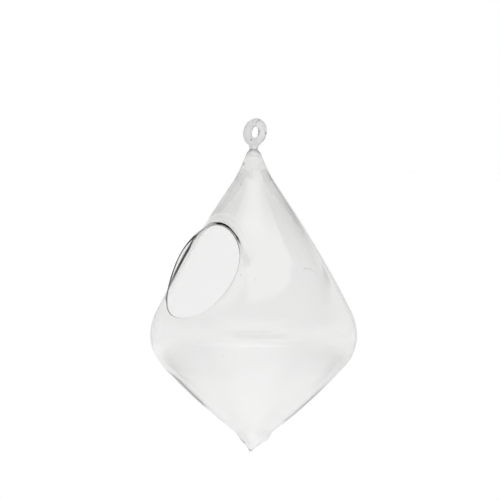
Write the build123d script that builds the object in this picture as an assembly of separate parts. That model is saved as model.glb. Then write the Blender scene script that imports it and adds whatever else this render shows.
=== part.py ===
from build123d import *
import math
import os

# Clear lampworked hanging vase: a blown rounded diamond with a turned lip round a side opening.
# Sizes are in millimetres and degrees. The origin is the centre of the hanging eye, +Z is up,
# the opening faces -Y, and a hook or wire passes through the eye along X.

# Hanging eye, solid rod bent round a mandrel that leaves a narrow land in the bore
rod_radius = 2.15
eye_bend_radius = 4.85
eye_bore_radius = 2.8

# Welded foot that saddles the bottom of the eye
foot_top_drop = 6.0
foot_top_radius = 2.45
neck_drop = 8.2
neck_radius = 2.05

# Knob between the narrow neck and the blown body, with a rounded shoulder
knob_middle_drop = 10.1
knob_middle_radius = 3.05

# Blown body, whose sides are tangent arcs from the belly up to the knob and down to the tail
belly_radius = 50.0
belly_drop = 98.0
upper_belly_round = 26.0
upper_belly_turn = 26.8
flare_start_radius = 10.77
flare_start_drop = 24.67
body_top_radius = 4.09
body_top_drop = 11.64
lower_belly_round = 20.0
lower_belly_turn = 41.6
body_bottom_radius = 10.02
body_bottom_depth = 46.2

# Wall of the body, which its hollow follows up into the knob and down into the tail
wall = 1.0

# Opening, an ellipse about an axis that leans up from -Y and crosses the body's axis above the belly
opening_tilt = 25.0
opening_axis_rise = 17.3
opening_half_width = 22.4
opening_half_height = 25.2

# Lip, turned out at its sides and in at its bottom, with a fire-polished edge
lip_width = 6.0
lip_edge_radius = 0.65
lip_lift = 0.5
lip_lean = 1.5
lip_flattening = 1.5
lip_section_count = 24

# Tail, round sections that wander off the axis, hollow but for a solid end with a bead drawn off it
tail_lean_direction = 48.0
tail_waist_drop = 2.1
tail_waist_radius = 8.6
tail_shoulder_drop = 4.5
tail_shoulder_radius = 7.0
tail_shoulder_offset = 0.4
tail_cone_drop = 7.4
tail_cone_radius = 3.7
tail_cone_offset = -0.7
tail_end_drop = 10.0
tail_end_radius = 0.6
tail_end_offset = -1.4
tail_bead_radius = 0.75
tail_wall = 1.5
tail_hollow_drop = 7.6


def side_arcs(sign, belly_round, belly_turn, stops):
    """Signed radius and turn of each arc of a side of the body, from the belly through the stops."""
    arcs = [(sign * belly_round, sign * belly_turn)]
    line = JernArc((belly_radius, -belly_drop), (0, sign), belly_round, sign * belly_turn)
    for stop in stops:
        chord = Vector(*stop) - (line @ 1)
        half_turn = (line % 1).get_signed_angle(chord, Vector(0, 0, 1))
        radius = chord.length / 2 / math.sin(math.radians(half_turn))
        arcs.append((radius, 2 * half_turn))
        line = JernArc(line @ 1, line % 1, abs(radius), 2 * half_turn)
    return arcs


def side_lines(arcs, sign, inset):
    """Lines of a side of the body moved in by the inset."""
    point = Vector(belly_radius - inset, -belly_drop)
    way = Vector(0, sign)
    lines = []
    for radius, turn in arcs:
        lines.append(JernArc(point, way, abs(radius - sign * inset), turn))
        point = lines[-1] @ 1
        way = lines[-1] % 1
    return lines


def turned(lines):
    """Solid turned about Z from lines in the plane of radius and height."""
    return revolve(Plane.XZ * make_face(lines), Axis.Z)


# Hanging ring
rod_ring = Rot(0, 90, 0) * Torus(eye_bend_radius, rod_radius)
eye_bore = Rot(0, 90, 0) * Cylinder(eye_bore_radius, 4 * rod_radius)
hanging_ring = rod_ring - eye_bore

# Ring foot
foot_height = neck_drop - foot_top_drop
foot_middle = -(neck_drop + foot_top_drop) / 2
ring_foot = Pos(0, 0, foot_middle) * Cone(neck_radius, foot_top_radius, foot_height) - rod_ring

# Glass body
flare_start = (flare_start_radius, -flare_start_drop)
body_top = (body_top_radius, -body_top_drop)
body_bottom = (body_bottom_radius, -belly_drop - body_bottom_depth)
upper_arcs = side_arcs(1, upper_belly_round, upper_belly_turn, [flare_start, body_top])
lower_arcs = side_arcs(-1, lower_belly_round, lower_belly_turn, [body_bottom])
outer_upper = side_lines(upper_arcs, 1, 0)
outer_lower = side_lines(lower_arcs, -1, 0)
top_edge = outer_upper[-1] @ 1
tail_edge = outer_lower[-1] @ 1
outer_ends = Polyline(top_edge, (0, top_edge.Y), (0, tail_edge.Y), tail_edge)
outer_form = turned(outer_upper + outer_lower + [outer_ends])

inner_upper = side_lines(upper_arcs, 1, wall)
inner_lower = side_lines(lower_arcs, -1, wall)
top_end = inner_upper[-1] @ 1
top_way = inner_upper[-1] % 1
top_dome = JernArc(top_end, top_way, top_end.X / top_way.Y, math.degrees(math.asin(top_way.Y)))
tail_hollow = Spline(
    inner_lower[-1] @ 1,
    (tail_waist_radius - tail_wall, tail_edge.Y - tail_waist_drop),
    (tail_shoulder_radius - tail_wall, tail_edge.Y - tail_shoulder_drop),
    (0, tail_edge.Y - tail_hollow_drop),
    tangents=[inner_lower[-1] % 1, (-1, 0)],
)
hollow_axis = Line(top_dome @ 1, tail_hollow @ 1)
hollow = turned(inner_upper + inner_lower + [top_dome, tail_hollow, hollow_axis])

tilt = math.radians(opening_tilt)
opening_axis = Vector(0, -math.cos(tilt), math.sin(tilt))
opening_axis_drop = belly_drop - opening_axis_rise
opening_plane = Plane((0, 0, -opening_axis_drop), x_dir=(1, 0, 0), z_dir=opening_axis)
collar_ellipse = Ellipse(opening_half_width + lip_width, opening_half_height + lip_width)
collar_cut = extrude(opening_plane * collar_ellipse, belly_radius)
glass_body = outer_form - hollow - collar_cut


def lip_section(angle):
    """Cross-section of the lip, from the body wall in to the polished edge, at an angle round the opening."""
    across, up = math.cos(angle), math.sin(angle)
    radial = opening_plane.x_dir * across + opening_plane.y_dir * up
    tangent = opening_plane.x_dir * up - opening_plane.y_dir * across
    edge_foot = opening_plane.from_local_coords((opening_half_width * across, opening_half_height * up, 0))
    section_plane = Plane(edge_foot, x_dir=radial, z_dir=tangent)
    collar_line = Axis(edge_foot + radial * lip_width, opening_axis)
    edge_line = Axis(edge_foot, opening_axis)

    def meets(form, line):
        """Where the line leaves the form on the opening's side, and the way of the surface there, in the section."""
        hits = form.find_intersection_points(line)
        point, normal = max(hits, key=lambda hit: section_plane.to_local_coords(hit[0]).Y)
        flat = Vector(-normal.dot(opening_axis), normal.dot(radial))
        inward = flat if flat.X < 0 else flat * -1
        return section_plane.to_local_coords(point), inward

    outer_start, outer_way = meets(outer_form, collar_line)
    inner_start, inner_way = meets(hollow, collar_line)
    surface, _ = meets(outer_form, edge_line)
    rise = lip_lift + lip_lean * up + lip_flattening * math.cos(2 * angle)
    edge_centre = Vector(0, surface.Y - wall / 2 + rise)
    inward = (edge_centre - (outer_start + inner_start) / 2).normalized()
    outward = Vector(inward.Y, -inward.X)
    outer_end = edge_centre + outward * lip_edge_radius
    inner_end = edge_centre - outward * lip_edge_radius
    lines = [
        TangentArc(outer_start, outer_end, tangent=outer_way),
        ThreePointArc(outer_end, edge_centre + inward * lip_edge_radius, inner_end),
        TangentArc(inner_start, inner_end, tangent=inner_way),
        Line(inner_start, outer_start),
    ]
    return section_plane * make_face(lines)


# Opening lip
lip_step = 2 * math.pi / lip_section_count
half_count = lip_section_count // 2
lip_halves = []
for first in (0, half_count):
    sections = [lip_section((first + step) * lip_step) for step in range(half_count + 1)]
    lip_halves.append(loft(sections))
opening_lip = lip_halves[0] + lip_halves[1]

# Neck knob
shoulder = Spline(
    top_edge,
    (knob_middle_radius, -knob_middle_drop),
    (neck_radius, -neck_drop),
    tangents=[outer_upper[-1] % 1, (0, 1)],
)
knob_ends = Polyline((neck_radius, -neck_drop), (0, -neck_drop), (0, top_edge.Y), top_edge)
neck_knob = turned([shoulder, knob_ends]) - hollow

# Tail tip
lean = math.radians(tail_lean_direction)
tail_sections = []
for drop, radius, offset in (
    (0, tail_edge.X, 0),
    (tail_waist_drop, tail_waist_radius, 0),
    (tail_shoulder_drop, tail_shoulder_radius, tail_shoulder_offset),
    (tail_cone_drop, tail_cone_radius, tail_cone_offset),
    (tail_end_drop, tail_end_radius, tail_end_offset),
):
    centre = Pos(offset * math.cos(lean), offset * math.sin(lean), tail_edge.Y - drop)
    tail_sections.append(centre * Circle(radius))
bead_place = Pos(tail_end_offset * math.cos(lean), tail_end_offset * math.sin(lean), tail_edge.Y - tail_end_drop)
tail_tip = loft(tail_sections) + bead_place * Sphere(tail_bead_radius) - hollow

os.makedirs("parts", exist_ok=True)
nodes = {
    "hanging_ring": hanging_ring,
    "ring_foot": ring_foot,
    "neck_knob": neck_knob,
    "glass_body": glass_body,
    "opening_lip": opening_lip,
    "tail_tip": tail_tip,
}
for name, shape in nodes.items():
    export_step(shape, f"parts/{name}.step")
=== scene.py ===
import math
import bmesh
import bpy
from mathutils import Matrix, Vector, noise


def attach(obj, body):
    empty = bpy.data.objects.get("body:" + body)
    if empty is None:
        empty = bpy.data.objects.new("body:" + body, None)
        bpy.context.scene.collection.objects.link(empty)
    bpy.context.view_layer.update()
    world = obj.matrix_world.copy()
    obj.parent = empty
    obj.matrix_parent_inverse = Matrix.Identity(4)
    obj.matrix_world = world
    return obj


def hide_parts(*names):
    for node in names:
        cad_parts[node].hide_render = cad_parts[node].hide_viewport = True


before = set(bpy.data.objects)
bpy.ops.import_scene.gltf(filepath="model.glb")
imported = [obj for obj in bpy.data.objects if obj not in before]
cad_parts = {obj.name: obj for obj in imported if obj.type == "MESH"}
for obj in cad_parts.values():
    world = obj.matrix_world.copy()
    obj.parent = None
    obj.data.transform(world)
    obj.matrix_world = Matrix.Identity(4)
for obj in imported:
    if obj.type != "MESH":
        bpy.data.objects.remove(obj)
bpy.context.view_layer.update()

# Blown vessel: one gather of clear glass, blown into a rounded diamond and drawn off to a crooked tail.
# A hole was cut in the hot wall and its rim flared and fire-polished, and the neck was drawn shut to a
# hollow knob for the hanging eye, so body, lip, knob and tail are one skin of glass with no seam.
mm = 0.001
belly_radius = 50.0 * mm
belly_height = -98.0 * mm
turns_round = 192
tail_end_steps = 10
merge_gap = 0.002 * mm

# Arcs of the outline from the belly up and from the belly down: radius in mm, turn in degrees, steps
upper_arcs = ((26.0, 26.8, 12), (540.0, 7.6, 60), (58.0, -14.5, 14), (7.56, 25.1, 6), (0.945, -45.0, 6))
lower_arcs = ((20.0, 41.6, 14), (270.0, 10.2, 38), (4.0, -18.8, 5), (960.0, 0.2, 6), (5.0, 19.0, 5),
              (57.0, -7.1, 12), (0.3, -42.0, 5))

vessel_mesh = bmesh.new()


def bend(end, heading, climb, radius, turn, steps):
    """Carry the outline on round an arc, upwards where climb is 1 and downwards where it is -1."""
    toward_axis = Vector((-math.cos(heading), 0, -climb * math.sin(heading)))
    centre = end.co + toward_axis * math.copysign(radius, turn)
    arc = bmesh.ops.spin(vessel_mesh, geom=[end], cent=centre, axis=(0, -climb, 0), angle=turn, steps=steps)
    return arc["geom_last"][0], heading + turn


def face_out(mesh):
    """Turn every face of a mesh outwards, so that what it encloses has a volume above nothing."""
    bmesh.ops.recalc_face_normals(mesh, faces=mesh.faces[:])
    if mesh.calc_volume(signed=True) < 0:
        bmesh.ops.reverse_faces(mesh, faces=mesh.faces[:])


belly = vessel_mesh.verts.new((belly_radius, 0, belly_height))
for climb, arcs in ((1, upper_arcs), (-1, lower_arcs)):
    end, heading = belly, 0.0
    for radius, turn, steps in arcs:
        end, heading = bend(end, heading, climb, radius * mm, math.radians(turn), steps)
    if climb > 0:
        pole = vessel_mesh.verts.new((0, 0, end.co.z))
        vessel_mesh.edges.new((end, pole))
    else:
        bend(end, heading, climb, end.co.x / math.cos(heading), math.pi / 2 - heading, tail_end_steps)
outline = vessel_mesh.verts[:] + vessel_mesh.edges[:]
bmesh.ops.spin(vessel_mesh, geom=outline, cent=(0, 0, 0), axis=(0, 0, 1), angle=2 * math.pi,
               steps=turns_round, use_merge=True)
bmesh.ops.remove_doubles(vessel_mesh, verts=vessel_mesh.verts[:], dist=merge_gap)
face_out(vessel_mesh)

# Opening: an ellipse square to an axis that leans up from the front, with a lip that runs in to its edge
opening_tilt = math.radians(25.0)
opening_axis = Vector((0, -math.cos(opening_tilt), math.sin(opening_tilt)))
opening_up = Vector((0, math.sin(opening_tilt), math.cos(opening_tilt)))
opening_centre = Vector((0, 0, -80.7 * mm))
half_width = 22.4 * mm
half_height = 24.5 * mm
lip_width = 6.0 * mm
lip_edge = 0.45 * mm
lip_rings = 12

# Flare of the lip's edge in mm: all round, more at the top, more at both sides, and drawn out at the left
flare_all, flare_top, flare_sides, flare_drawn = 0.6, 0.8, 1.3, 2.2
drawn_turn, drawn_spread = 152.0, 34.0
flare_softness = 0.3
flare_power = 3.5

# Part of the turned wall that is cleared for the opening and closed again by a patch round the lip
window_turn = math.radians(60)
window_bottom, window_top = -96.5 * mm, -33.5 * mm
patch_cuts = 15

belly_round, belly_turn = upper_arcs[0][0] * mm, math.radians(upper_arcs[0][1])
flank_round = upper_arcs[1][0] * mm
shoulder_height = belly_height + belly_round * math.sin(belly_turn)
flank_centre_radius = belly_radius - belly_round - (flank_round - belly_round) * math.cos(belly_turn)
flank_centre_height = belly_height - (flank_round - belly_round) * math.sin(belly_turn)


def wall_radius(height):
    """Radius of the outer wall above the belly."""
    if height > shoulder_height:
        return flank_centre_radius + math.sqrt(flank_round**2 - (height - flank_centre_height) ** 2)
    return belly_radius - belly_round + math.sqrt(belly_round**2 - max(height - belly_height, 0) ** 2)


def on_wall(across, up):
    """Point of the outer wall straight out, along the opening's axis, from a point of its plane."""
    foot = opening_centre + Vector((across, 0, 0)) + opening_up * up
    near, far = 0.0, 2 * belly_radius
    halvings = 40
    for _ in range(halvings):
        middle = (near + far) / 2
        point = foot + opening_axis * middle
        if math.hypot(point.x, point.y) < wall_radius(point.z):
            near = middle
        else:
            far = middle
    return foot + opening_axis * near


def open_loop():
    """The edges round the holes of the vessel as it is so far."""
    return [edge for edge in vessel_mesh.edges if edge.is_boundary]


def draw_in(edges, inward):
    """Carry the wall on to an ellipse that far inside the collar, and return what is new."""
    made = bmesh.ops.extrude_edge_only(vessel_mesh, edges=edges)["geom"]
    across, up = half_width + lip_width - inward, half_height + lip_width - inward
    share = inward / (lip_width + lip_edge)
    for vert in made:
        if isinstance(vert, bmesh.types.BMVert):
            local = vert.co - opening_centre
            angle = math.atan2(local.dot(opening_up) / up, local.x / across)
            drawn_out = math.exp(-(((math.degrees(angle) % 360 - drawn_turn) / drawn_spread) ** 2))
            flare = flare_all + flare_top * math.sin(angle) + flare_sides * math.cos(2 * angle)
            flare += flare_drawn * drawn_out
            rise = (flare + math.hypot(flare, flare_softness)) / 2 * mm
            place = on_wall(across * math.cos(angle), up * math.sin(angle))
            vert.co = place + opening_axis * rise * share**flare_power
    return made


window = []
for face in vessel_mesh.faces:
    middle = face.calc_center_median()
    if abs(math.atan2(middle.x, -middle.y)) < window_turn and window_bottom < middle.z < window_top:
        window.append(face)
bmesh.ops.delete(vessel_mesh, geom=window, context="FACES")
collar = draw_in(open_loop(), 0.0)
collar_verts = {item for item in collar if isinstance(item, bmesh.types.BMVert)}
spokes = [edge for edge in vessel_mesh.edges if len(collar_verts.intersection(edge.verts)) == 1]
patch = bmesh.ops.subdivide_edges(vessel_mesh, edges=spokes, cuts=patch_cuts, use_grid_fill=True)
for vert in patch["geom_split"]:
    if isinstance(vert, bmesh.types.BMVert):
        flat = Vector((vert.co.x, vert.co.y, 0)).normalized() * wall_radius(vert.co.z)
        vert.co = Vector((flat.x, flat.y, vert.co.z))
for ring in range(1, lip_rings + 1):
    draw_in(open_loop(), (lip_width + lip_edge) * ring / lip_rings)

# Ripples of the blown wall, which die out towards the axis
broad_ripple, broad_size, broad_start = 0.10 * mm, 30 * mm, Vector((0.0, 1.3, 2.1))
fine_ripple, fine_size, fine_start = 0.05 * mm, 12 * mm, Vector((4.4, 0.0, 0.7))
rippled_radius = 12 * mm
for vert in vessel_mesh.verts:
    broad = noise.noise(vert.co / broad_size + broad_start)
    fine = noise.noise(vert.co / fine_size + fine_start)
    flat = Vector((vert.co.x, vert.co.y, 0))
    if flat.length > 0:
        depth = broad_ripple * (broad - 1) + fine_ripple * (fine - 1)
        vert.co += flat.normalized() * min(flat.length / rippled_radius, 1) * depth
face_out(vessel_mesh)

# Glass of the wall, thinner where the neck and the tail were drawn out, and how far the hollow runs
wall = 0.55 * mm
tail_thinning, tail_thin_from, tail_thin_to = 0.32 * mm, -138 * mm, -147 * mm
neck_thinning, neck_thin_from, neck_thin_to = 0.32 * mm, -18 * mm, -12 * mm
hollow_top = -8.35 * mm
hollow_bottom = -153.6 * mm
top_dome_turn, bottom_dome_turn = math.radians(82), math.radians(52)
dome_steps = 8
dome_distance = 48 * mm

# Bead of thicker glass behind the lip's edge, heaviest towards the top and narrower on the right
bead_swell = 1.5 * mm
bead_turn, bead_from, bead_full = 78.0, 0.25, 0.9
bead_width, bead_narrowing, narrow_from, narrow_full = 6.0 * mm, 1.8 * mm, 85.0, 35.0
bead_crest, bead_rise, edge_left = 0.45, 0.37, 0.2

# Fold of the lip where it was drawn out at the left
fold_swell = 0.48 * mm
fold_turn, fold_spread = 155.0, 32.0
fold_outer_from, fold_outer_full = 8 * mm, 4 * mm
fold_inner_from, fold_inner_full = 0.8 * mm, 2.2 * mm

# Long patches where hot glass ran and set: turn in degrees, height, half turn, half length and swell in mm
thick_runs = ((-118.0, -124.0, 20.0, 9.0, 0.14), (47.0, -132.0, 12.0, 9.0, 0.3))


def soft(value, start, end):
    """Smooth climb from 0 at the start to 1 at the end."""
    share = min(max((value - start) / (end - start), 0), 1)
    return share * share * (3 - 2 * share)


def edge_swell(point):
    """How much thicker the wall is round the opening, where the hot glass drew together."""
    local = point - opening_centre
    if local.dot(opening_axis) < 0:
        return 0.0
    across, up = local.x / (half_width - lip_edge), local.dot(opening_up) / (half_height - lip_edge)
    gap = (math.hypot(across, up) - 1) * half_width
    angle = math.degrees(math.atan2(up, across)) % 360
    heavy = soft(math.cos(math.radians(angle - bead_turn)), bead_from, bead_full)
    reach = bead_width - bead_narrowing * soft(angle, narrow_from, narrow_full)
    kept_at_edge = edge_left + (1 - edge_left) * soft(gap, 0, bead_rise * reach)
    bead = soft(gap, reach, bead_crest * reach) * kept_at_edge
    fold = math.exp(-(((angle - fold_turn) / fold_spread) ** 2))
    fold *= soft(gap, fold_outer_from, fold_outer_full) * soft(gap, fold_inner_from, fold_inner_full)
    return bead_swell * heavy * bead + fold_swell * fold


def run_swell(point):
    """How much thicker the wall is in the long patches, on two sides below the belly."""
    swell = 0.0
    for turn, height, half_turn, half_length, extra in thick_runs:
        aside = (math.degrees(math.atan2(point.y, point.x)) - turn) / half_turn
        along = (point.z / mm - height) / half_length
        swell += extra * mm * math.exp(-(aside**2) - along**4)
    return swell


def close_hollow(climb, heading):
    """Close the top or the bottom of the hollow with a dome that meets the axis square."""
    loop = [edge for edge in open_loop() if climb * (edge.verts[0].co.z - opening_centre.z) > dome_distance]
    start = loop[0].verts[0].co.copy()
    dome_round = math.hypot(start.x, start.y) / math.cos(heading)
    for step in range(1, dome_steps + 1):
        before = loop[0].verts[0].co.copy()
        turn = heading + (math.pi / 2 - heading) * step / dome_steps
        made = bmesh.ops.extrude_edge_only(vessel_mesh, edges=loop)["geom"]
        ring = [item for item in made if isinstance(item, bmesh.types.BMVert)]
        loop = [item for item in made if isinstance(item, bmesh.types.BMEdge) and item.is_boundary]
        drawn = max(dome_round * math.cos(turn), 0) / math.hypot(before.x, before.y)
        height = start.z + climb * dome_round * (math.sin(turn) - math.sin(heading))
        bmesh.ops.scale(vessel_mesh, vec=(drawn, drawn, 1), verts=ring)
        bmesh.ops.translate(vessel_mesh, vec=(0, 0, height - before.z), verts=ring)
    bmesh.ops.pointmerge(vessel_mesh, verts=ring, merge_co=(0, 0, height))


outer_skin = vessel_mesh.verts[:] + vessel_mesh.edges[:] + vessel_mesh.faces[:]
rim_edges = open_loop()
inner_skin = bmesh.ops.duplicate(vessel_mesh, geom=outer_skin)
inner_of = inner_skin["vert_map"]
inner_verts = [item for item in inner_skin["geom"] if isinstance(item, bmesh.types.BMVert)]
vessel_mesh.normal_update()
for vert in inner_verts:
    vert.tag = hollow_bottom < vert.co.z < hollow_top
    drawn_thin = tail_thinning * soft(vert.co.z, tail_thin_from, tail_thin_to)
    drawn_thin += neck_thinning * soft(vert.co.z, neck_thin_from, neck_thin_to)
    vert.co -= vert.normal * (wall - drawn_thin + edge_swell(vert.co) + run_swell(vert.co))
inner_faces = [item for item in inner_skin["geom"] if isinstance(item, bmesh.types.BMFace)]
bmesh.ops.reverse_faces(vessel_mesh, faces=inner_faces)
bmesh.ops.delete(vessel_mesh, geom=[vert for vert in inner_verts if not vert.tag], context="VERTS")
close_hollow(1, top_dome_turn)
close_hollow(-1, bottom_dome_turn)

# Rim, carried across from the outer skin to the inner one and rounded by the fire
rim_round, rim_steps = 0.35 * mm, 5
rim_verts = {vert for edge in rim_edges for vert in edge.verts}
across_rim = bmesh.ops.extrude_edge_only(vessel_mesh, edges=rim_edges)["geom"]
to_inner = {}
for vert in across_rim:
    if isinstance(vert, bmesh.types.BMVert):
        neighbours = [edge.other_vert(vert) for edge in vert.link_edges]
        outer = next(neighbour for neighbour in neighbours if neighbour in rim_verts)
        to_inner[vert] = inner_of[outer]
bmesh.ops.weld_verts(vessel_mesh, targetmap=to_inner)
inner_rim = {inner_of[vert] for vert in rim_verts}
rim_edges += [edge for edge in vessel_mesh.edges if inner_rim.issuperset(edge.verts)]
bmesh.ops.bevel(vessel_mesh, geom=rim_edges, offset=rim_round, offset_type="OFFSET", segments=rim_steps,
                profile=0.5, affect="EDGES", material=-1, clamp_overlap=False)

# Crooked tail, in mm below its top: it bulges to one side and then swings off to the other
tail_height = -146.3 * mm
tail_turn = math.radians(48)
tail_lean = Vector((math.cos(tail_turn), math.sin(tail_turn), 0))
bulge_depth, bulge_length = 0.45, 4.6
swing_slope, swing_start, swing_softness = 0.145, 2.9, 1.2
for vert in vessel_mesh.verts:
    below = (tail_height - vert.co.z) / mm
    if below > 0:
        bulge = bulge_depth * math.sin(min(below / bulge_length, 1) * math.pi)
        swing = swing_slope * (below - swing_start + math.hypot(below - swing_start, swing_softness))
        vert.co += tail_lean * (bulge - swing) * mm
for face in vessel_mesh.faces:
    face.smooth = True

vessel_data = bpy.data.meshes.new("vessel")
vessel_mesh.to_mesh(vessel_data)
vessel_mesh.free()
vessel = bpy.data.objects.new("vessel", vessel_data)
bpy.context.collection.objects.link(vessel)


class Flow:
    """A number on its way through a material; sums on it add Math nodes to that material."""

    def __init__(self, tree, socket=None):
        self.tree = tree
        self.socket = socket

    def node(self, kind, settings, sockets, output=0):
        """Any node of the material: its settings first, then the values or links of its sockets."""
        made = self.tree.nodes.new(kind)
        for name, value in settings.items():
            setattr(made, name, value)
        for name, value in sockets.items():
            if isinstance(value, Flow):
                self.tree.links.new(value.socket, made.inputs[name])
            else:
                made.inputs[name].default_value = value
        return Flow(self.tree, made.outputs[output]) if made.outputs else made

    def sums(self, operation, first, second):
        return self.node("ShaderNodeMath", {"operation": operation}, {0: first, 1: second})

    def __add__(self, other):
        return self.sums("ADD", self, other)

    def __radd__(self, other):
        return self.sums("ADD", other, self)

    def __sub__(self, other):
        return self.sums("SUBTRACT", self, other)

    def __rsub__(self, other):
        return self.sums("SUBTRACT", other, self)

    def __mul__(self, other):
        return self.sums("MULTIPLY", self, other)

    def __rmul__(self, other):
        return self.sums("MULTIPLY", other, self)

    def __lt__(self, other):
        return self.sums("LESS_THAN", self, other)


def soft_step(value, start, end):
    """Smooth climb from 0 at the start to 1 at the end, as nodes."""
    return value.node("ShaderNodeMapRange", {"interpolation_type": "SMOOTHSTEP"},
                      {"Value": value, "From Min": start, "From Max": end})


def blend(share, first, second):
    """Colour that goes from the first to the second by a share."""
    return share.node("ShaderNodeMix", {"data_type": "RGBA"}, {0: share, 6: first, 7: second}, 2)


def clear_glass(name, tints, soaking, ripple_size, hazes, height_greys, seeds_and_shade_spots):
    """Clear glass with soft ripples, smears, the flame's haze, a grey tint by height, and small dark spots:
    seeds and scratches, and on the eye painted shade.
    """
    height_grey = (0.8, 0.8, 0.79, 1)
    seed_and_shade_grey = (0.2, 0.2, 0.19, 1)
    soaked_tint = (0.77, 0.785, 0.74, 1)
    drawn_out = (1, 1, 0.35)
    ripple_strength, ripple_depth = 0.25, 0.05 * mm
    smear_scale = 70.0
    smear_roughness = 0.012
    haze_even, haze_patchy = 0.7, 0.6
    material = bpy.data.materials.new(name)
    material.use_nodes = True
    material.node_tree.nodes.clear()
    flow = Flow(material.node_tree)
    place = flow.node("ShaderNodeTexCoord", {}, {}, "Object")
    height = flow.node("ShaderNodeSeparateXYZ", {}, {"Vector": place}, "Z")
    drawn = flow.node("ShaderNodeMapping", {}, {"Vector": place, "Scale": drawn_out})
    ripple = flow.node("ShaderNodeTexNoise", {}, {"Vector": drawn, "Scale": 1 / ripple_size, "Detail": 2.0})
    smear = flow.node("ShaderNodeTexNoise", {},
                      {"Vector": place, "Scale": smear_scale, "Detail": 3.0, "Roughness": 0.6})
    clean, smeared = tints
    colour = blend(smear, clean, smeared)
    # Colour greys towards the top, from each start height to its full height
    for start, full, depth in height_greys:
        colour = blend(depth * soft_step(height, start * mm, full * mm), colour, height_grey)
    seed_and_shade_spot = 0.0
    # Small dark spots: seeds and scratches in the vessel, painted shade on the eye's ring
    for middle, radius in seeds_and_shade_spots:
        spot = tuple(value * mm for value in middle)
        apart = flow.node("ShaderNodeVectorMath", {"operation": "DISTANCE"}, {0: place, 1: spot}, "Value")
        seed_and_shade_spot = (apart < radius * mm) + seed_and_shade_spot
    haze = 0.0
    for start, full, depth in hazes:
        haze = depth * soft_step(height, start * mm, full * mm) + haze
    bump = flow.node("ShaderNodeBump", {},
                     {"Strength": ripple_strength, "Distance": ripple_depth, "Height": ripple})
    glass = flow.node(
        "ShaderNodeBsdfPrincipled", {},
        {"Base Color": blend(seed_and_shade_spot, colour, seed_and_shade_grey),
         "Roughness": smear_roughness * smear + haze * (haze_even + haze_patchy * smear),
         "IOR": 1.5, "Transmission Weight": 1.0, "Normal": bump},
    )
    soak = flow.node("ShaderNodeVolumeAbsorption", {}, {"Color": soaked_tint, "Density": soaking})
    flow.node("ShaderNodeOutputMaterial", {}, {"Surface": glass, "Volume": soak})
    return material


vessel_tints = ((1.0, 1.0, 1.0, 1), (0.985, 0.985, 0.985, 1))
vessel_soaking = 130.0
vessel_ripple = 14 * mm

# Haze from the flame, and a grey tint towards the top: heights in mm where each starts and is full, and how
# strong it is
vessel_hazes = ((-11.5, -9.5, 0.2), (-9.8, -8.8, 0.4), (-153.0, -154.2, 0.3))
vessel_height_greys = ((-54.0, -32.0, 0.2),)

# Seeds and scratches: middle and radius in mm
vessel_seeds = (
    ((34.6, 0.6, -63.1), 0.26), ((34.6, 2.2, -63.2), 0.3), ((34.5, 4.7, -63.5), 0.33),
    ((34.9, 6.7, -64.8), 0.28), ((32.5, 8.4, -61.3), 0.2), ((32.2, 10.3, -61.7), 0.2),
    ((23.0, -28.4, -65.0), 0.25), ((28.0, -24.1, -67.2), 0.2), ((27.4, -2.3, -50.9), 0.2),
    ((31.1, 0.1, -56.9), 0.2), ((12.2, -47.7, -93.7), 0.3), ((14.5, -46.6, -91.7), 0.25),
    ((2.4, -10.2, -24.5), 0.28), ((26.2, -42.1, -101.0), 0.2), ((31.2, -38.7, -100.4), 0.2),
    ((28.8, -39.0, -105.2), 0.2), ((-0.9, -5.2, -14.8), 0.45), ((-1.2, -5.4, -15.5), 0.45),
    ((-1.1, -1.2, -154.6), 0.5),
)
vessel_glass = clear_glass("vessel_glass", vessel_tints, vessel_soaking, vessel_ripple, vessel_hazes,
                           vessel_height_greys, vessel_seeds)
vessel_data.materials.append(vessel_glass)
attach(vessel, "root")
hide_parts("glass_body", "opening_lip", "neck_knob", "tail_tip")

# Hanging eye: a short glass rod bent round a mandrel into a ring, closed on itself and welded in the flame
# to the knob by a little foot, so ring and foot are one lump with a soft fillet where they meet.
rod_radius = 2.1 * mm
eye_bend = 4.82 * mm
round_eye, round_rod = 24, 12
rounding_levels = 3
neck_height = -8.2 * mm
seat_drop, seat_turn = 0.7 * mm, math.radians(15)
middle_share = 0.5
axis_gap = 0.05 * mm
wobble_depth, wobble_size, wobble_seed = 0.08 * mm, 4 * mm, 1
eye_lean = Vector((0.665, 0.747, -0.3)) * 0.68 * mm

# Rings of the foot from the rod down to the knob: height and radius in mm
foot_rings = ((-7.3, 2.3), (-7.9, 2.0), (-8.18, 1.98), (-8.26, 1.98))

# Subdivision draws a ring of points in, so rod and eye start wider by what it takes away
rod_cage = rod_radius * 3 / (2 + math.cos(2 * math.pi / round_rod))
eye_cage = eye_bend * 3 / (2 + math.cos(2 * math.pi / round_eye))

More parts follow.
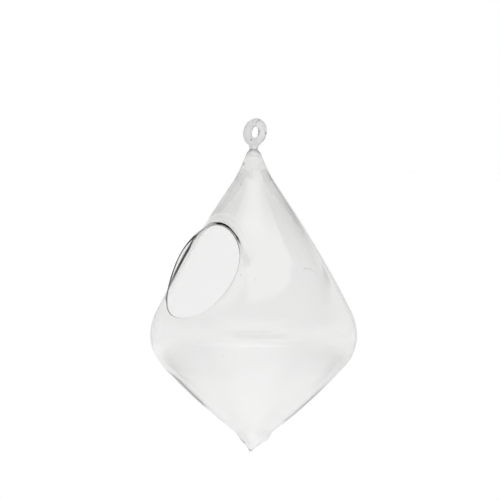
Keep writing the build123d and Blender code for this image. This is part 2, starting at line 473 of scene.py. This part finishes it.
eye_mesh = bmesh.new()
rod_place = Matrix.Translation((0, 0, -eye_cage))
rod_upright = Matrix.Rotation(math.radians(90), 4, "X")
rod_half_step = Matrix.Rotation(math.pi / round_rod, 4, "Z")
bmesh.ops.create_circle(eye_mesh, segments=round_rod, radius=rod_cage,
                        matrix=rod_place @ rod_upright @ rod_half_step)
bmesh.ops.spin(eye_mesh, geom=eye_mesh.verts[:] + eye_mesh.edges[:], cent=(0, 0, 0), axis=(1, 0, 0),
               angle=2 * math.pi, steps=round_eye, use_merge=True)
face_out(eye_mesh)
seat = []
for face in eye_mesh.faces:
    middle = face.calc_center_median()
    if middle.z < -eye_bend - seat_drop and abs(math.atan2(middle.y, -middle.z)) < seat_turn:
        seat.append(face)
for height, radius in foot_rings:
    made = bmesh.ops.extrude_face_region(eye_mesh, geom=seat)["geom"]
    bmesh.ops.delete(eye_mesh, geom=seat, context="FACES")
    seat = [item for item in made if isinstance(item, bmesh.types.BMFace)]
    for vert in {vert for face in seat for vert in face.verts}:
        flat = Vector((vert.co.x, vert.co.y, 0))
        on_border = any(face not in seat for face in vert.link_faces)
        reach = radius * mm if on_border else radius * mm * middle_share
        spread = flat.normalized() * reach if flat.length > axis_gap else flat
        vert.co = spread + Vector((0, 0, height * mm))
noise.seed_set(wobble_seed)
for vert in eye_mesh.verts:
    vert.co += noise.noise_vector(vert.co / wobble_size) * wobble_depth
    climbed = max(vert.co.z - neck_height, 0) / -neck_height
    vert.co += eye_lean * climbed
face_out(eye_mesh)
for face in eye_mesh.faces:
    face.smooth = True
eye_data = bpy.data.meshes.new("hanging_eye")
eye_mesh.to_mesh(eye_data)
eye_mesh.free()
hanging_eye = bpy.data.objects.new("hanging_eye", eye_data)
bpy.context.collection.objects.link(hanging_eye)
rounding = hanging_eye.modifiers.new("rounding", "SUBSURF")
rounding.levels = rounding_levels
rounding.render_levels = rounding_levels

eye_tints = ((0.96, 0.96, 0.96, 1), (0.86, 0.86, 0.86, 1))
eye_soaking = 25.0
eye_ripple = 6 * mm
eye_hazes = ((-20.0, -19.0, 0.6),)
eye_height_greys = ()
# Painted shade: dark spots on the ring where its thick rod shows dark, as middle and radius in mm
eye_painted_shade_spots = (
    ((2.5, 1.1, 5.6), 0.5), ((2.7, -0.3, 4.9), 0.3), ((2.6, -2.5, 2.6), 0.4), ((0.2, 2.9, 1.3), 0.5),
    ((0.1, 3.3, 0.1), 0.7), ((0.1, 3.0, -1.3), 0.5), ((2.5, 5.6, -0.6), 0.45), ((2.3, -3.8, -3.7), 0.45),
)
eye_glass = clear_glass("eye_glass", eye_tints, eye_soaking, eye_ripple, eye_hazes, eye_height_greys, eye_painted_shade_spots)
eye_data.materials.append(eye_glass)
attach(hanging_eye, "root")
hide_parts("hanging_ring", "ring_foot")

# Floor: plain white paper well below the hanging vase, which takes its shadow. A little light of its own
# makes it white for the camera and a shade darker in the glass, and a painted pool of light, which only the
# glass's mirrored rays see, lies on it ahead of the vase, round it on the left and straight under it.
floor_height = -0.27
floor_reach = 4.0
floor_squares = 8
paper_white = (0.9, 0.9, 0.9, 1)
camera_glow, glass_glow = 0.36, 0.229
floor_front = (0.746, -0.666, 0)
floor_right = (0.665, 0.747, 0)
# Middle of the painted pool of light, which only the glass's reflections show
painted_pool_middle = (0.008, -0.007, floor_height)
under_glow, under_from, under_full = 0.6, 0.07, 0.02
front_glow, front_from, front_full = 0.84, 0.6, 0.9
front_far, front_near = 2.5, 0.7
left_glow, left_end, left_full = 0.3, 0.3, -0.2
left_inner_from, left_inner_full, left_far, left_near = 0.2, 0.4, 1.2, 0.6

floor_mesh = bmesh.new()
bmesh.ops.create_grid(floor_mesh, x_segments=floor_squares, y_segments=floor_squares, size=floor_reach,
                      matrix=Matrix.Translation((0, 0, floor_height)))
floor_data = bpy.data.meshes.new("floor")
floor_mesh.to_mesh(floor_data)
floor_mesh.free()
floor = bpy.data.objects.new("floor", floor_data)
bpy.context.collection.objects.link(floor)
floor_white = bpy.data.materials.new("floor_white")
floor_white.use_nodes = True
floor_white.node_tree.nodes.clear()
flow = Flow(floor_white.node_tree)


def along(direction, vector):
    """How far a vector runs along a fixed direction, as nodes."""
    settings, sockets = {"operation": "DOT_PRODUCT"}, {0: vector, 1: direction}
    return vector.node("ShaderNodeVectorMath", settings, sockets, "Value")


seen = flow.node("ShaderNodeLightPath", {}, {}, "Is Camera Ray")
shown = flow.node("ShaderNodeLightPath", {}, {}, "Is Glossy Ray")
through = flow.node("ShaderNodeLightPath", {}, {}, "Is Transmission Ray")
in_glass = flow.node("ShaderNodeClamp", {}, {"Value": shown + through})
mirrored = shown * (1 - through)
place = flow.node("ShaderNodeTexCoord", {}, {}, "Object")
away = flow.node("ShaderNodeVectorMath", {"operation": "DISTANCE"}, {0: place, 1: painted_pool_middle}, "Value")
flat = flow.node("ShaderNodeVectorMath", {"operation": "MULTIPLY"}, {0: place, 1: (1, 1, 0)}, "Vector")
bearing = flow.node("ShaderNodeVectorMath", {"operation": "NORMALIZE"}, {0: flat}, "Vector")
under = soft_step(away, under_from, under_full)
to_front = soft_step(along(floor_front, bearing), front_from, front_full)
to_front = to_front * soft_step(away, front_far, front_near)
to_left = 1 - soft_step(along(floor_right, bearing), left_full, left_end)
to_left = to_left * soft_step(away, left_inner_from, left_inner_full) * soft_step(away, left_far, left_near)
# Painted pool of light on the floor, seen only in what the glass mirrors
painted_pool = under_glow * under + (1 - under) * (front_glow * to_front + left_glow * to_left)
paper = flow.node("ShaderNodeBsdfDiffuse", {}, {"Color": paper_white})
glow = flow.node("ShaderNodeEmission", {},
                 {"Color": camera_glow * seen + in_glass * (glass_glow + mirrored * painted_pool), "Strength": 1.0})
both = flow.node("ShaderNodeAddShader", {}, {0: paper, 1: glow})
flow.node("ShaderNodeOutputMaterial", {}, {"Surface": both})
floor_data.materials.append(floor_white)

# Studio: a white backdrop low down, dim walls above it with one tall soft lamp, and a light ceiling.
# The world holds it all, laid out by the slant of the glass that mirrors it to the front: lift is how far
# that glass faces up and turn how far it faces right. The camera sees white all round.
front = (0.744, -0.662, 0.087)
right = (0.665, 0.747, 0.0)
world = bpy.data.worlds.new("studio")
bpy.context.scene.world = world
world.use_nodes = True
world.node_tree.nodes.clear()
flow = Flow(world.node_tree)
way = flow.node("ShaderNodeTexCoord", {}, {}, "Generated")
seen = flow.node("ShaderNodeLightPath", {}, {}, "Is Camera Ray")
shown = flow.node("ShaderNodeLightPath", {}, {}, "Is Glossy Ray")
through = flow.node("ShaderNodeLightPath", {}, {}, "Is Transmission Ray")
mirrored = shown * (1 - through)
between = flow.node("ShaderNodeVectorMath", {"operation": "ADD"}, {0: way, 1: front}, "Vector")
slant = flow.node("ShaderNodeVectorMath", {"operation": "NORMALIZE"}, {0: between}, "Vector")
lift = flow.node("ShaderNodeSeparateXYZ", {}, {"Vector": slant}, "Z")
turn = along(right, slant)
height = flow.node("ShaderNodeSeparateXYZ", {}, {"Vector": way}, "Z")


def past(value, place, blur):
    """0 before the place and 1 after it, changing over the blur at each side of it."""
    return soft_step(value, place - blur, place + blur)


def band(value, start, end, blur):
    """1 between the start and the end, falling to 0 over the blur at each side."""
    return past(value, start, blur) * (1 - past(value, end, blur))


# Lamp: slanting sides, a straight left side below its step, a slanting foot and a soft top
lamp_left_slope, lamp_left, lamp_right_slope, lamp_right, lamp_blur = 3, -2.0, 2, 1.48, 0.02
step_lift, step_blur, step_left = 0.525, 0.01, -0.05
foot_slope, lamp_foot, foot_blur = 10, -4.35, 0.04
lamp_top, top_blur = 0.63, 0.03
lamp_light, lamp_edge_loss, lamp_middle_gain = 1.05, 0.28, 0.95
lamp_half_middle, middle_blur = 0.2, 0.13
upper_lamp, upper_blur = 0.5325, 0.0175
over_step = past(lift, step_lift, step_blur)
lamp = past(turn - lamp_left_slope * lift, lamp_left, lamp_blur)
lamp = lamp * (1 - past(turn + lamp_right_slope * lift, lamp_right, lamp_blur))
lamp = lamp * (over_step + (1 - over_step) * past(turn, step_left, lamp_blur))
lamp = lamp * (1 - past(turn - foot_slope * lift, lamp_foot, foot_blur))
lamp = lamp * (1 - past(lift, lamp_top, top_blur))
upper_middle = lamp_middle_gain * band(turn, -lamp_half_middle, lamp_half_middle, middle_blur)
lamp_level = lamp_light + past(lift, upper_lamp, upper_blur) * (upper_middle - lamp_edge_loss)

# Walls and ceiling: the walls darken upwards, with lighter ends and a light strip near the top
wall_light, wall_loss, wall_dark, wall_blur = 0.30, 0.28, 0.495, 0.035
end_light, left_end_turn, right_end_turn, end_blur = 0.45, -0.74, 0.80, 0.05
strip_light, strip_bottom, strip_top, strip_blur = 0.3, 0.565, 0.60, 0.015
ceiling_light, ceiling_lift, ceiling_blur = 1.0, 0.67, 0.03
walls = wall_light - wall_loss * past(lift, wall_dark, wall_blur)
walls = walls + end_light * (1 - band(turn, left_end_turn, right_end_turn, end_blur))
walls = walls + strip_light * band(lift, strip_bottom, strip_top, strip_blur)
above = walls + lamp * (lamp_level - walls) + ceiling_light * past(lift, ceiling_lift, ceiling_blur)

# Backdrop: bright at its foot, with a dark slot across it and dusk at its top, lower towards its sides
backdrop_light, foot_loss, foot_lift, foot_lift_blur = 1.2, 0.35, 0.16, 0.01
slot_loss, slot_bottom, slot_top, slot_blur = 0.75, 0.163, 0.252, 0.01
slot_left, slot_right, slot_end_blur = -0.18, 0.31, 0.03
dusk_loss, dusk_lift, dusk_blur, early_dusk, early_blur = 0.5, 0.435, 0.005, 0.325, 0.125
side_outer, side_outer_blur, side_inner, side_inner_blur = 0.72, 0.12, 0.3, 0.1
flank_loss, flank_lift, flank_blur = 0.1, 0.30, 0.15
flank_left, flank_right, flank_end_blur = -0.56, 0.52, 0.05
slot = band(lift, slot_bottom, slot_top, slot_blur) * band(turn, slot_left, slot_right, slot_end_blur)
sides = band(turn, -side_outer, side_outer, side_outer_blur)
sides = sides - band(turn, -side_inner, side_inner, side_inner_blur)
dusk = past(lift, dusk_lift, dusk_blur)
dusk = dusk + sides * (past(lift, early_dusk, early_blur) - dusk)
flanks = past(lift, flank_lift, flank_blur) * (1 - band(turn, flank_left, flank_right, flank_end_blur))
backdrop = backdrop_light - foot_loss * past(lift, foot_lift, foot_lift_blur) - slot_loss * slot
backdrop = backdrop - dusk_loss * dusk - flank_loss * flanks

# Room: walls over the backdrop, and white paper below both, brighter at the front where it is mirrored
wall_foot, wall_foot_blur = 0.458, 0.004
paper_top, paper_blur = 0.18, 0.04
paper_light, paper_gain, paper_half_width, paper_end_blur = 0.82, 0.5, 0.3, 0.15
room = backdrop + (above - backdrop) * past(lift, wall_foot, wall_foot_blur)
low = paper_light + paper_gain * mirrored * band(turn, -paper_half_width, paper_half_width, paper_end_blur)
room = low + (room - low) * past(height, paper_top, paper_blur)
sky = flow.node("ShaderNodeBackground", {}, {"Color": (1, 1, 1, 1), "Strength": room + seen * (1 - room)})
flow.node("ShaderNodeOutputWorld", {}, {"Surface": sky})

# Camera: a long lens a little above the vase, which hangs with its opening turned to the left.
azimuth = math.radians(48.3)
elevation = math.radians(5.0)
distance = 0.9
aim_height = -56.6 * mm
aim_left = 1.73 * mm
camera_data = bpy.data.cameras.new("camera")
camera_data.lens = 135
camera_data.sensor_width = 36
camera = bpy.data.objects.new("camera", camera_data)
bpy.context.collection.objects.link(camera)
level = math.cos(elevation)
out = Vector((math.sin(azimuth) * level, -math.cos(azimuth) * level, math.sin(elevation)))
side = Vector((math.cos(azimuth), math.sin(azimuth), 0))
target = Vector((0, 0, aim_height)) - side * aim_left
camera.location = target + out * distance
camera.rotation_euler = (-out).to_track_quat("-Z", "Y").to_euler()
bpy.context.scene.camera = camera
bpy.context.scene.view_settings.view_transform = "Standard"
